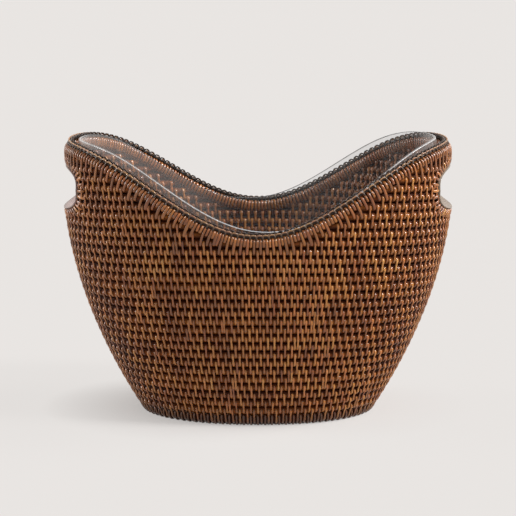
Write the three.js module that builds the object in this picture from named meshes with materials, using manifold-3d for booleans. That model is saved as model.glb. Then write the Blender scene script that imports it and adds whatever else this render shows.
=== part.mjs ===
// Rattan champagne bucket: a boat-shaped oval basket of stacked rattan courses with a
// saddle rim, a hand-hold through each end wall and a loose clear acrylic liner.
// Millimetres, +Z up. The origin is the middle of the underside, +X runs along the
// length and -Y is the front.
import * as THREE from "three";
import { mergeVertices } from "three/addons/utils/BufferGeometryUtils.js";
import Module from "manifold-3d";

const wasm = await Module();
wasm.setup();

// Basket, over the outside of the wall
const TOP_LENGTH = 388;
const TOP_DEPTH = 268.5;
const BASE_LENGTH = 233;
const BASE_DEPTH = 177;
const END_HEIGHT = 276;
const SADDLE_HEIGHT = 198;
const WALL = 9;
const RIM_SWEEP = 1.05; // 1 rises from the saddle as a plain cosine, more rises later
const OVAL_POWER = 2.15; // 2 is an ellipse, more is fuller at the corners

// Wall profiles: lean from upright in degrees, and how far each lean carries
const END_BASE_LEAN = 33.5;
const END_BASE_REACH = 117;
const END_TOP_LEAN = -9;
const END_TOP_REACH = 64;
const SIDE_BASE_LEAN = 20.5;
const SIDE_BASE_REACH = 64;
const SIDE_TOP_LEAN = 7;
const SIDE_TOP_REACH = 64;

// Courses, counted from the foot up to the border
const SIDE_COURSES = 20;
const END_COURSES = 30;
const FOOT_HEIGHT = 12.5; // along the wall
const COURSE_GAP = 0.4;
const COURSE_TIP = 2.5; // a course stops at this height where the border or a hand-hold cuts it

// Rim: a wrapped border on the wall, and a plaited crest on the border
const BORDER_HEIGHT = 10;
const BORDER_WIDTH = 10;
const CREST_HEIGHT = 3;
const CREST_WIDTH = 6.5;
const RIM_FLAT = 0.6; // share of a rim piece's width that is flat on top and beneath

// Hand-holds: an oval slot through the end wall, lined with a flat strip
const HANDHOLD_WIDTH = 126;
const HANDHOLD_HEIGHT = 44; // along the wall
const HANDHOLD_MIDDLE = 26.1; // counted in courses
const HANDHOLD_POWER = 3;
const LINING_THICKNESS = 1.5;
const LINING_LIP = 0.4; // how far the lining stands proud of the wall

// Floor mat: one flat oval coil inside the foot
const MAT_RAISE = 0.8;
const MAT_THICKNESS = 7.5;
const MAT_GROOVE = 2;
const MAT_COILS = 9;

// Acrylic liner, standing on the mat and turned a little in the basket
const LINER_WALL = 3;
const LINER_FLOOR = 4;
const LINER_CORNER = 5;
const LINER_END_CLEARANCE = 3; // at the rim
const LINER_SIDE_CLEARANCE = 7;
const LINER_DRAFT = 2; // degrees
const LINER_TURN = 5; // degrees

// Facets
const HOOP_STEPS = 28;
const RIM_STEPS = 48;
const HANDHOLD_STEPS = 28;
const LINER_STEPS = 40;
const LINER_RINGS = 4;

// Values worked out from the sizes above
const FULL_TURN = 2 * Math.PI;
const RIM_HEIGHT = BORDER_HEIGHT + CREST_HEIGHT;
const MAT_TOP = MAT_RAISE + MAT_THICKNESS;
const LINER_BASE = MAT_TOP + COURSE_GAP;

// A wall profile at the middle of the wall's thickness: x is the half-width, y the height.
function wallProfile(baseSize, topSize, topHeight, baseLean, baseReach, topLean, topReach) {
  const lean = (degrees, reach) => {
    const angle = THREE.MathUtils.degToRad(degrees);
    return new THREE.Vector2(Math.sin(angle), Math.cos(angle)).multiplyScalar(reach);
  };
  const base = new THREE.Vector2((baseSize - WALL) / 2, 0);
  const top = new THREE.Vector2((topSize - WALL) / 2, topHeight);
  const low = base.clone().add(lean(baseLean, baseReach));
  const high = top.clone().sub(lean(topLean, topReach));
  return new THREE.CubicBezierCurve(base, low, high, top);
}

const END_PROFILE = wallProfile(
  BASE_LENGTH,
  TOP_LENGTH,
  END_HEIGHT - RIM_HEIGHT,
  END_BASE_LEAN,
  END_BASE_REACH,
  END_TOP_LEAN,
  END_TOP_REACH,
);
const SIDE_PROFILE = wallProfile(
  BASE_DEPTH,
  TOP_DEPTH,
  SADDLE_HEIGHT - RIM_HEIGHT,
  SIDE_BASE_LEAN,
  SIDE_BASE_REACH,
  SIDE_TOP_LEAN,
  SIDE_TOP_REACH,
);
const END_PITCH = (END_PROFILE.getLength() - FOOT_HEIGHT) / END_COURSES;
const SIDE_PITCH = (SIDE_PROFILE.getLength() - FOOT_HEIGHT) / SIDE_COURSES;

// The point a given run up a profile, which goes on straight past its top.
function alongProfile(profile, run) {
  const length = profile.getLength();
  const point = profile.getPointAt(Math.min(run / length, 1));
  if (run > length) point.addScaledVector(profile.getTangentAt(1), run - length);
  return point;
}

// The value between low and high at which a rising function reaches its target, by halving.
function solve(rising, target, low, high) {
  const halvings = 40;
  for (let i = 0; i < halvings; i++) {
    const middle = (low + high) / 2;
    if (rising(middle) < target) low = middle;
    else high = middle;
  }
  return (low + high) / 2;
}

// A profile's half-width at a height.
function radiusAtHeight(profile, height) {
  const run = solve((r) => alongProfile(profile, r).y, height, 0, 2 * END_HEIGHT);
  return alongProfile(profile, run).x;
}

// The unit oval of a power, at a turn about Z.
function oval(turn, power) {
  const x = Math.cos(turn);
  const y = Math.sin(turn);
  const scale = (Math.abs(x) ** power + Math.abs(y) ** power) ** (-1 / power);
  return new THREE.Vector2(x * scale, y * scale);
}

// The middle of the wall, at a turn and at a run up the end and side profiles.
function wallPoint(turn, endRun, sideRun) {
  const end = alongProfile(END_PROFILE, endRun);
  const side = alongProfile(SIDE_PROFILE, sideRun);
  const { x, y } = oval(turn, OVAL_POWER);
  const height = THREE.MathUtils.lerp(side.y, end.y, Math.cos(turn) ** 2);
  return new THREE.Vector3(end.x * x, side.x * y, height);
}

// The same with the run counted in courses: 0 is the top of the foot.
function coursePoint(turn, course) {
  return wallPoint(turn, FOOT_HEIGHT + course * END_PITCH, FOOT_HEIGHT + course * SIDE_PITCH);
}

// The middle of the foot, all round.
function footPoint(turn, rise) {
  return wallPoint(turn, FOOT_HEIGHT / 2 + rise, FOOT_HEIGHT / 2 + rise);
}

// A station on a surface: the point, and the outward normal there.
function station(surface, turn, row) {
  const step = 1e-3;
  const along = surface(turn + step, row).sub(surface(turn - step, row));
  const rise = surface(turn, row + step).sub(surface(turn, row - step));
  return { point: surface(turn, row), out: along.cross(rise).normalize() };
}

// The saddle of a rim: its height at a share of the half-length, from the middle to the end.
function saddleHeight(share) {
  const rise = Math.sin((Math.PI / 2) * Math.abs(share) ** RIM_SWEEP) ** 2;
  return THREE.MathUtils.lerp(SADDLE_HEIGHT, END_HEIGHT, rise);
}

// The course at which the border starts.
function rimCourse(turn) {
  const underside = saddleHeight(oval(turn, OVAL_POWER).x) - RIM_HEIGHT;
  return solve((course) => coursePoint(turn, course).z, underside, 0, 2 * END_COURSES);
}

// Rings of one section carried along stations, in steps of out and up across the path.
function sweep(stations, section, looped) {
  const last = stations.length - 1;
  return stations.map(({ point, out }, i) => {
    const before = stations[looped ? (i + last) % (last + 1) : Math.max(i - 1, 0)].point;
    const after = stations[looped ? (i + 1) % (last + 1) : Math.min(i + 1, last)].point;
    const along = after.clone().sub(before).normalize();
    const up = out.clone().cross(along).normalize();
    return section.map(([a, b]) => point.clone().addScaledVector(out, a).addScaledVector(up, b));
  });
}

// A closed skin over rings of equal count: looped joins the last ring to the first, and
// otherwise a fan closes each end.
function loft(rings, looped) {
  const count = rings[0].length;
  const points = rings.flat();
  const faces = [];
  const spans = looped ? rings.length : rings.length - 1;
  for (let i = 0; i < spans; i++) {
    const here = i * count;
    const next = ((i + 1) % rings.length) * count;
    for (let j = 0; j < count; j++) {
      const k = (j + 1) % count;
      faces.push(here + j, next + j, next + k, here + j, next + k, here + k);
    }
  }
  if (!looped) {
    const lastRing = (rings.length - 1) * count;
    const middle = (ring) => ring.reduce((sum, p) => sum.add(p), new THREE.Vector3()).divideScalar(count);
    const first = points.push(middle(rings[0])) - 1;
    const final = points.push(middle(rings[rings.length - 1])) - 1;
    for (let j = 0; j < count; j++) {
      const k = (j + 1) % count;
      faces.push(first, j, k);
      faces.push(final, lastRing + k, lastRing + j);
    }
  }
  const geometry = new THREE.BufferGeometry().setFromPoints(points).setIndex(faces);
  return facingOut(geometry);
}

// The geometry with its faces turned outwards, whichever way its rings ran.
function facingOut(geometry) {
  const index = geometry.index.array;
  const corner = (i) => new THREE.Vector3().fromBufferAttribute(geometry.attributes.position, index[i]);
  let volume = 0;
  for (let i = 0; i < index.length; i += 3) {
    volume += corner(i).dot(corner(i + 1).cross(corner(i + 2)));
  }
  if (volume < 0) {
    for (let i = 0; i < index.length; i += 3) [index[i], index[i + 1]] = [index[i + 1], index[i]];
  }
  return geometry;
}

// A geometry as a solid that can be cut, and back again.
function toSolid(geometry) {
  const merged = mergeVertices(geometry);
  return new wasm.Manifold(
    new wasm.Mesh({
      numProp: 3,
      vertProperties: new Float32Array(merged.attributes.position.array),
      triVerts: new Uint32Array(merged.index.array),
    }),
  );
}

function toGeometry(solid) {
  const mesh = solid.getMesh();
  return new THREE.BufferGeometry()
    .setAttribute("position", new THREE.BufferAttribute(mesh.vertProperties, 3))
    .setIndex(new THREE.BufferAttribute(mesh.triVerts, 1));
}

// A six-sided rod section with a flat top and bottom, so that courses seat on each other.
function rodSection(width, height) {
  return [
    [width / 2, 0],
    [width / 4, height / 2],
    [-width / 4, height / 2],
    [-width / 2, 0],
    [-width / 4, -height / 2],
    [width / 4, -height / 2],
  ];
}

// Equal turns all round.
function turnsRound(steps) {
  return Array.from({ length: steps }, (_, i) => (i * FULL_TURN) / steps);
}

// Foot: the lowest course, with its underside cut flat on the ground.
const FOOT_SECTION = rodSection(WALL, FOOT_HEIGHT - COURSE_GAP);
const FOOT_UNDERSIDE = [4, 5]; // the section's two lowest corners
function footRings() {
  const stations = turnsRound(HOOP_STEPS).map((turn) => station(footPoint, turn, 0));
  const rings = sweep(stations, FOOT_SECTION, true);
  for (const ring of rings) for (const corner of FOOT_UNDERSIDE) ring[corner].z = 0;
  return rings;
}

// Wall course that runs all the way round under the border.
const COURSE_SECTION = rodSection(WALL, Math.min(END_PITCH, SIDE_PITCH) - COURSE_GAP);
function fullCourse(course) {
  const stations = turnsRound(HOOP_STEPS).map((turn) => station(coursePoint, turn, course + 0.5));
  return loft(sweep(stations, COURSE_SECTION, true), true);
}

// The turn from the right end at which the border comes down to a course's tip.
function borderTurn(course) {
  const tip = course + COURSE_TIP / END_PITCH;
  return solve((turn) => -rimCourse(turn), -tip, 0, Math.PI / 2);
}

// The turn from the right end at which a course is a given distance across from the middle.
function turnAcross(across, course) {
  const reach = (turn) => coursePoint(turn, course).y;
  return solve(reach, across, -Math.PI / 2, Math.PI / 2);
}

// Part of a course between two turns, before the rim and the hand-hold are cut from it.
function coursePart(course, from, to) {
  const grid = FULL_TURN / HOOP_STEPS;
  const margin = grid / 8; // keeps a part's end clear of the next step
  const turns = [from];
  for (let i = Math.ceil((from + margin) / grid); i * grid < to - margin; i++) turns.push(i * grid);
  turns.push(to);
  const stations = turns.map((turn) => station(coursePoint, turn, course + 0.5));
  return toSolid(loft(sweep(stations, COURSE_SECTION, false), false));
}

// Rim stations along the underside of the border.
const RIM_STATIONS = turnsRound(RIM_STEPS).map((turn) => station(coursePoint, turn, rimCourse(turn)));

// A hoop along the rim, of a width, between two heights above the border's underside.
function rimHoop(width, low, high) {
  const flat = (RIM_FLAT * width) / 2;
  const middle = (low + high) / 2;
  const section = [
    [width / 2, middle],
    [flat, high],
    [-flat, high],
    [-width / 2, middle],
    [-flat, low],
    [flat, low],
  ];
  return loft(sweep(RIM_STATIONS, section, true), true);
}

// The space that the border takes from the courses.
function rimSpace() {
  const reach = Math.max(BORDER_WIDTH, WALL) / 2 + COURSE_GAP;
  const low = -COURSE_GAP / 2;
  const high = low + 2 * RIM_HEIGHT;
  const section = [
    [reach, low],
    [reach, high],
    [-reach, high],
    [-reach, low],
  ];
  return toSolid(loft(sweep(RIM_STATIONS, section, true), true));
}

// Half of a hand-hold's height, and its outline on the right end wall, drawn in by an inset.
const HANDHOLD_HALF_HEIGHT = HANDHOLD_HEIGHT / 2;
function handholdOutline(inset) {
  return turnsRound(HANDHOLD_STEPS).map((angle) => {
    const { x, y } = oval(angle, HANDHOLD_POWER);
    const across = x * (HANDHOLD_WIDTH / 2 - inset);
    const course = HANDHOLD_MIDDLE + (y * (HANDHOLD_HALF_HEIGHT - inset)) / END_PITCH;
    return station(coursePoint, turnAcross(across, course), course);
  });
}

// An outline moved out of the wall by a depth.
function atDepth(outline, depth) {
  return outline.map(({ point, out }) => point.clone().addScaledVector(out, depth));
}

// The space that a hand-hold takes from the courses.
function handholdSpace() {
  const outline = handholdOutline(0);
  return toSolid(loft([atDepth(outline, 2 * WALL), atDepth(outline, -2 * WALL)], false));
}

// Flat strip that lines a hand-hold.
function handholdLining() {
  const depth = WALL / 2 + LINING_LIP;
  const outer = handholdOutline(COURSE_GAP);
  const inner = handholdOutline(COURSE_GAP + LINING_THICKNESS);
  const sides = [
    atDepth(outer, depth),
    atDepth(inner, depth),
    atDepth(inner, -depth),
    atDepth(outer, -depth),
  ];
  return loft(
    outer.map((_, i) => sides.map((side) => side[i])),
    true,
  );
}

// Whether a hand-hold parts a course: it does where it leaves less of it than a tip.
function isParted(course) {
  const reach = (HANDHOLD_HALF_HEIGHT + COURSE_TIP) / END_PITCH;
  return course > HANDHOLD_MIDDLE - reach && course + 1 < HANDHOLD_MIDDLE + reach;
}

// How far from a hand-hold's middle the courses that it parts may start.
function handholdStart() {
  const share = 1 - COURSE_TIP / HANDHOLD_HALF_HEIGHT;
  return (HANDHOLD_WIDTH / 2) * (1 - share ** HANDHOLD_POWER) ** (1 / HANDHOLD_POWER);
}

// Floor mat: concentric coils, rounded on top and flat beneath, set in by the foot.
function floorMat(foot) {
  const innerCorner = FOOT_UNDERSIDE[0];
  const reach = (axis) => Math.max(...foot.map((ring) => Math.abs(ring[innerCorner].getComponent(axis))));
  const halfLength = reach(0) - COURSE_GAP;
  const halfDepth = reach(1) - COURSE_GAP;
  const coil = halfDepth / MAT_COILS;
  const ringAt = (inset, height) =>
    turnsRound(HOOP_STEPS).map((turn) => {
      const { x, y } = oval(turn, OVAL_POWER);
      return new THREE.Vector3(x * (halfLength - inset), y * (halfDepth - inset), height);
    });
  const rings = [ringAt(0, MAT_RAISE)];
  for (let i = 0; i < MAT_COILS; i++) {
    rings.push(ringAt(i * coil, MAT_TOP - MAT_GROOVE));
    rings.push(ringAt((i + 0.5) * coil, MAT_TOP));
  }
  return loft(rings, false);
}

// Acrylic liner: a drafted oval shell whose saddle rim repeats the basket's.
function acrylicLiner() {
  const draft = Math.tan(THREE.MathUtils.degToRad(LINER_DRAFT));
  const ringAt = (bottom, share, inset) =>
    turnsRound(LINER_STEPS).map((turn) => {
      const rim = saddleHeight(Math.cos(turn));
      const height = THREE.MathUtils.lerp(bottom, rim, share);
      const drawnIn = BORDER_WIDTH / 2 + draft * (rim - height) + inset;
      const halfLength = radiusAtHeight(END_PROFILE, height) - LINER_END_CLEARANCE - drawnIn;
      const halfDepth = radiusAtHeight(SIDE_PROFILE, height) - LINER_SIDE_CLEARANCE - drawnIn;
      return new THREE.Vector3(halfLength * Math.cos(turn), halfDepth * Math.sin(turn), height);
    });
  const shares = Array.from({ length: LINER_RINGS + 1 }, (_, i) => i / LINER_RINGS);
  const outside = shares.map((share) => ringAt(LINER_BASE + LINER_CORNER, share, 0));
  const inside = shares.map((share) => ringAt(LINER_BASE + LINER_FLOOR + LINER_CORNER, share, LINER_WALL));
  const rings = [
    ringAt(LINER_BASE, 0, LINER_CORNER),
    ...outside,
    ...inside.reverse(),
    ringAt(LINER_BASE + LINER_FLOOR, 0, LINER_WALL + LINER_CORNER),
  ];
  return loft(rings, false);
}

const bucket = new THREE.Group();
const basket = new THREE.Group();
const rightEnd = new THREE.Group();
const leftEnd = new THREE.Group();
leftEnd.rotation.z = Math.PI;
basket.add(rightEnd, leftEnd);
bucket.add(basket);

function rattan(color) {
  return new THREE.MeshStandardMaterial({ color, roughness: 0.45, metalness: 0 });
}

function acrylic() {
  return new THREE.MeshStandardMaterial({
    color: 0xeef2f4,
    roughness: 0.05,
    metalness: 0,
    transparent: true,
    opacity: 0.3,
  });
}

function addPiece(group, name, geometry, material) {
  geometry.computeVertexNormals();
  const mesh = new THREE.Mesh(geometry, material);
  mesh.name = name;
  group.add(mesh);
}

const COURSE_BROWN = 0x6b4326;
const BORDER_BROWN = 0x8a5a33;
const FOOT_BROWN = 0x4a2d1a;
const numbered = (course) => String(course + 1).padStart(2, "0");

const foot = footRings();
addPiece(basket, "foot_course", loft(foot, true), rattan(FOOT_BROWN));
addPiece(basket, "floor_mat", floorMat(foot), rattan(FOOT_BROWN));
for (let course = 0; course < SIDE_COURSES; course++) {
  addPiece(basket, "wall_course_" + numbered(course), fullCourse(course), rattan(COURSE_BROWN));
}

// Above the saddle each course runs round one end only. A hand-hold parts some courses and
// takes a little off the one above it and the one below it.
const underRim = rimSpace();
const slot = handholdSpace();
for (let course = SIDE_COURSES; course < END_COURSES; course++) {
  const end = borderTurn(course);
  const trimmed = (from, to) => toGeometry(coursePart(course, from, to).subtract(underRim).subtract(slot));
  if (!isParted(course)) {
    const whole = trimmed(-end, end);
    addPiece(rightEnd, "right_end_course_" + numbered(course), whole, rattan(COURSE_BROWN));
    addPiece(leftEnd, "left_end_course_" + numbered(course), whole, rattan(COURSE_BROWN));
    continue;
  }
  const start = turnAcross(handholdStart(), course + 0.5);
  const back = trimmed(start, end);
  const front = trimmed(-end, -start);
  addPiece(rightEnd, "right_back_course_" + numbered(course), back, rattan(COURSE_BROWN));
  addPiece(rightEnd, "right_front_course_" + numbered(course), front, rattan(COURSE_BROWN));
  addPiece(leftEnd, "left_front_course_" + numbered(course), back, rattan(COURSE_BROWN));
  addPiece(leftEnd, "left_back_course_" + numbered(course), front, rattan(COURSE_BROWN));
}
const lining = handholdLining();
addPiece(rightEnd, "right_handhold_lining", lining, rattan(BORDER_BROWN));
addPiece(leftEnd, "left_handhold_lining", lining, rattan(BORDER_BROWN));

const border = rimHoop(BORDER_WIDTH, COURSE_GAP / 2, BORDER_HEIGHT - COURSE_GAP);
addPiece(basket, "rim_border", border, rattan(BORDER_BROWN));
addPiece(basket, "rim_crest_plait", rimHoop(CREST_WIDTH, BORDER_HEIGHT, RIM_HEIGHT), rattan(BORDER_BROWN));

const liner = new THREE.Group();
liner.rotation.z = THREE.MathUtils.degToRad(LINER_TURN);
addPiece(liner, "acrylic_liner", acrylicLiner(), acrylic());
bucket.add(liner);

export default bucket;
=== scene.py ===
import math

import bpy
import numpy as np
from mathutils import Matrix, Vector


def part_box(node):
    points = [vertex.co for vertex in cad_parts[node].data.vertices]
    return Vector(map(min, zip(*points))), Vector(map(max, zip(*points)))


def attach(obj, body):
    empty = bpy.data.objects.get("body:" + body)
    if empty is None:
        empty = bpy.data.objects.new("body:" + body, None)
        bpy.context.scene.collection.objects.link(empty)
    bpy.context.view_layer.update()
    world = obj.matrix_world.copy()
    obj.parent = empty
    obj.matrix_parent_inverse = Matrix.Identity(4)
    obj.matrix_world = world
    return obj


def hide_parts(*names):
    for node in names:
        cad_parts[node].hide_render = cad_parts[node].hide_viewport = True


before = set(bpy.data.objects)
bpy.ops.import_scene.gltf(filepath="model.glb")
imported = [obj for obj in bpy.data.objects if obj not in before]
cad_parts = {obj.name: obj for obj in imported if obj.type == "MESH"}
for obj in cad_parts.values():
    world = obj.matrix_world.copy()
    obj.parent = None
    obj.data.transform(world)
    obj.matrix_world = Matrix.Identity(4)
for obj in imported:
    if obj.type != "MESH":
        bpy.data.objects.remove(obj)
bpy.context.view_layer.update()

# Basket, in metres, over the outside of the wall
TOP_LENGTH = 0.388
TOP_DEPTH = 0.2685
BASE_LENGTH = 0.233
BASE_DEPTH = 0.177
END_HEIGHT = 0.276
SADDLE_HEIGHT = 0.198
WALL = 0.009
RIM_SWEEP = 1.05
OVAL_POWER = 2.15

# Wall profiles: lean at the base and how far it carries, then the same at the top
END_LEANS = (33.5, 0.117, -9, 0.064)
SIDE_LEANS = (20.5, 0.064, 7, 0.064)
PROFILE_STEPS = 401
PROFILE_PAST = 0.12  # the profiles go on straight past the top
NUDGE = 1e-3  # step of the central differences, in radians and in courses
HALVINGS = 40

# Courses, counted from the foot up
SIDE_COURSES = 20
END_COURSES = 30
HIGHEST_COURSE = 1.2 * END_COURSES  # past the rim everywhere
FOOT_HEIGHT = 0.0125
RIM_HEIGHT = 0.013
ROD_DEPTH = 0.0031  # half of a rod's thickness through the wall

# Hand-holds
HANDHOLD_WIDTH = 0.126
HANDHOLD_HEIGHT = 0.044
HANDHOLD_MIDDLE = 26.1  # counted in courses
HANDHOLD_POWER = 3
HANDHOLD_MARGIN = 0.2  # courses between the slot and the ends of the strips
COURSE_TIP = 0.0025  # a course is parted where the hand-hold leaves less of it than this
OUT_OF_THE_WAY = 99  # edge of a hand-hold, in courses, where there is none
LIP_DEPTH = 0.003
LIP_REACH = 0.010
LINING_INSET = 0.0004
LINING_THICKNESS = 0.0015

# Binding strips
STRIP_WIDTH = 0.0032  # over a rod
STRIP_THICKNESS = 0.0011
BEND_HEIGHT = 0.0027  # how far above and below a rod's middle a strip bends into the wall
BEND_DEPTH = 0.0040  # how far off the wall's middle a strip lies over a rod
STITCH_LOW = 0.0069  # pitch of the strips at the foot
STITCH_HIGH = 0.0077  # and at the saddle
STRIP_LEAN = -0.0003  # how far a strip moves along the wall for each course that it climbs
SEED = 41

# Acrylic liner
LINER_WALL = 0.003
LINER_FLOOR = 0.004
LINER_CORNER = 0.005
LINER_END_CLEARANCE = 0.003
LINER_SIDE_CLEARANCE = 0.007
LINER_DRAFT = math.tan(math.radians(2))
LINER_TURN = math.radians(5)
BORDER_WIDTH = 0.010

FULL_TURN = 2 * math.pi
rng = np.random.default_rng(SEED)


def unit(vectors):
    """Vectors at length one."""
    return vectors / np.linalg.norm(vectors, axis=-1, keepdims=True)


def even_turns(steps):
    """Turns evenly spaced once round."""
    return np.arange(steps) * FULL_TURN / steps


def path_run(points):
    """Run along a path of points, from 0 at its start."""
    return np.append(0, np.cumsum(np.linalg.norm(np.diff(points, axis=0), axis=1)))


def spread(pitch, run, places):
    """Places evenly spaced along a closed path, about a pitch of its run apart."""
    count = round(run[-1] / pitch)
    return np.interp(np.arange(count) * run[-1] / count, run, places)


def neighbours(places, length):
    """The places before and after each one in a closed row of that length."""
    return np.append(places[-1] - length, places[:-1]), np.append(places[1:], places[0] + length)


def from_upright(degrees):
    """Unit vector, outward and up, that leans outward from upright by so many degrees."""
    lean = math.radians(degrees)
    return np.array([math.sin(lean), math.cos(lean)])


def wall_profile(base_size, top_size, top_height, leans):
    """Middle of the wall in one upright plane: a cubic Bezier whose end tangents lean from upright,
    going on straight past its top. Returns run along it, half-width, height and its length."""
    base_lean, base_reach, top_lean, top_reach = leans
    base = np.array([(base_size - WALL) / 2, 0])
    top = np.array([(top_size - WALL) / 2, top_height])
    low = base + base_reach * from_upright(base_lean)
    high = top - top_reach * from_upright(top_lean)
    t = np.linspace(0, 1, PROFILE_STEPS)[:, None]
    points = (1 - t) ** 3 * base + 3 * t * (1 - t) ** 2 * low
    points = points + 3 * t**2 * (1 - t) * high + t**3 * top
    run = path_run(points)
    points = np.vstack([points, top + PROFILE_PAST * from_upright(top_lean)])
    return np.append(run, run[-1] + PROFILE_PAST), points[:, 0], points[:, 1], run[-1]


END_PROFILE = wall_profile(BASE_LENGTH, TOP_LENGTH, END_HEIGHT - RIM_HEIGHT, END_LEANS)
SIDE_PROFILE = wall_profile(BASE_DEPTH, TOP_DEPTH, SADDLE_HEIGHT - RIM_HEIGHT, SIDE_LEANS)
END_PITCH = (END_PROFILE[3] - FOOT_HEIGHT) / END_COURSES
SIDE_PITCH = (SIDE_PROFILE[3] - FOOT_HEIGHT) / SIDE_COURSES
FOOT_RISE = FOOT_HEIGHT / END_PITCH  # the foot's height in courses


def oval(turn, power):
    """Unit oval |x|^power + |y|^power = 1, at a turn about Z."""
    x, y = np.cos(turn), np.sin(turn)
    scale = (np.abs(x) ** power + np.abs(y) ** power) ** (-1 / power)
    return x * scale, y * scale


def wall_point(turn, course):
    """Middle of the wall: the end and side profiles, each at its own run for that course, set
    round the oval. The height goes from the side's to the end's by the square of the turn's
    cosine."""
    end_run = FOOT_HEIGHT + course * END_PITCH
    side_run = FOOT_HEIGHT + course * SIDE_PITCH
    x, y = oval(turn, OVAL_POWER)
    end_z = np.interp(end_run, END_PROFILE[0], END_PROFILE[2])
    side_z = np.interp(side_run, SIDE_PROFILE[0], SIDE_PROFILE[2])
    x = x * np.interp(end_run, END_PROFILE[0], END_PROFILE[1])
    y = y * np.interp(side_run, SIDE_PROFILE[0], SIDE_PROFILE[1])
    z = side_z + (end_z - side_z) * np.cos(turn) ** 2
    return np.stack(np.broadcast_arrays(x, y, z), -1)


def lip_depth(point, course):
    """How far the wall bends in just above a hand-hold: most at the slot's edge, fading with the
    square of the distance from it and towards the slot's ends."""
    up = (course - HANDHOLD_MIDDLE) * END_PITCH / (HANDHOLD_HEIGHT / 2)
    across = point[..., 1] / (HANDHOLD_WIDTH / 2)
    ring = (np.abs(up) ** HANDHOLD_POWER + np.abs(across) ** HANDHOLD_POWER) ** (1 / HANDHOLD_POWER)
    near = np.clip(1 - (ring - 1) * HANDHOLD_HEIGHT / 2 / LIP_REACH, 0, 1)
    return LIP_DEPTH * near**2 * np.clip(up, 0, 1)


def wall_frame(turn, course):
    """Point, outward normal, level direction and speed round the wall, by central differences."""
    level = wall_point(turn + NUDGE, course) - wall_point(turn - NUDGE, course)
    level = level / (2 * NUDGE)
    rise = wall_point(turn, course + NUDGE) - wall_point(turn, course - NUDGE)
    out = unit(np.cross(level, rise))
    speed = np.linalg.norm(level, axis=-1)
    point = wall_point(turn, course)
    point = point - out * lip_depth(point, course)[..., None]
    return point, out, level / speed[..., None], speed


def saddle_height(share):
    """Height of the rim at a share of the half-length: a squared sine from middle to end."""
    rise = np.sin(np.pi / 2 * np.abs(share) ** RIM_SWEEP) ** 2
    return SADDLE_HEIGHT + (END_HEIGHT - SADDLE_HEIGHT) * rise


def halve(rising, target, low, high):
    """Where a rising function of an array reaches its target, by halving the range."""
    low, high = np.broadcast_arrays(low + 0 * target, high + 0 * target)
    for _ in range(HALVINGS):
        middle = (low + high) / 2
        short = rising(middle) < target
        low, high = np.where(short, middle, low), np.where(short, high, middle)
    return (low + high) / 2


def rim_course(turn):
    """Course at which the border starts."""
    underside = saddle_height(oval(turn, OVAL_POWER)[0]) - RIM_HEIGHT
    return halve(lambda course: wall_point(turn, course)[..., 2], underside, 0.0, HIGHEST_COURSE)


def rim_frame(turn):
    """Point on the border's underside, outward normal, direction along the rim and up across it."""
    point, out, _, _ = wall_frame(turn, rim_course(turn))
    after = wall_point(turn + NUDGE, rim_course(turn + NUDGE))
    before = wall_point(turn - NUDGE, rim_course(turn - NUDGE))
    along = unit(after - before)
    return point, out, along, unit(np.cross(out, along))


def rim_point(turn, outward, upward):
    """A point off the rim path: outward through the wall and upward across the rim."""
    point, out, _, up = rim_frame(turn)
    return point + out * outward[..., None] + up * upward[..., None]


def turn_across(across, course):
    """Turn from the right end at which a course is that far across from the middle."""
    return halve(lambda turn: wall_point(turn, course)[..., 1], across, -np.pi / 2, np.pi / 2)


def handhold_edge(angle, margin):
    """Turn and course of a hand-hold's outline on the right end, moved outwards by a margin."""
    x, y = oval(angle, HANDHOLD_POWER)
    course = HANDHOLD_MIDDLE + y * (HANDHOLD_HEIGHT / 2 + margin) / END_PITCH
    return turn_across(x * (HANDHOLD_WIDTH / 2 + margin), course), course


def slot_share(share):
    """Share that a hand-hold reaches one way at a share of its reach the other way."""
    return np.maximum(1 - share**HANDHOLD_POWER, 0) ** (1 / HANDHOLD_POWER)


def handhold_span(turn, margin):
    """Courses of a hand-hold's upper and lower edge at a turn, moved outwards by a margin in
    courses, or out of the way where there is no slot."""
    point = wall_point(turn, 0 * turn + HANDHOLD_MIDDLE)
    across = np.abs(point[..., 1]) / (HANDHOLD_WIDTH / 2)
    slot = (across < 1) & (np.abs(point[..., 0]) > TOP_DEPTH / 2)
    half = HANDHOLD_HEIGHT / 2 / END_PITCH * slot_share(across) + margin
    top = np.where(slot, HANDHOLD_MIDDLE + half, -OUT_OF_THE_WAY)
    return top, np.where(slot, HANDHOLD_MIDDLE - half, OUT_OF_THE_WAY)


# Meshes


def grid_quads(rows, columns, closed_rows):
    """Quads of a grid of points in row order, closed round its columns and, if asked, its rows."""
    row = np.arange(rows if closed_rows else rows - 1)[:, None]
    column = np.arange(columns)[None, :]
    next_row, next_column = (row + 1) % rows, (column + 1) % columns
    corners = (
        row * columns + column,
        row * columns + next_column,
        next_row * columns + next_column,
        next_row * columns + column,
    )
    return np.stack(np.broadcast_arrays(*corners), -1).reshape(-1, 4)


def tube_faces(count, stations, sides, closed):
    """Faces of many tubes alike: quads along each, and at an open tube's ends one polygon each."""
    first = (np.arange(count) * stations * sides)[:, None, None]
    faces = [(grid_quads(stations, sides, closed) + first).reshape(-1, 4)]
    if not closed:
        start = np.arange(sides)[::-1]
        end = (stations - 1) * sides + np.arange(sides)
        faces.append((np.stack([start, end]) + first).reshape(-1, sides))
    return faces


def new_object(name, data):
    """A new object in the scene."""
    thing = bpy.data.objects.new(name, data)
    bpy.context.scene.collection.objects.link(thing)
    return thing


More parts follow.
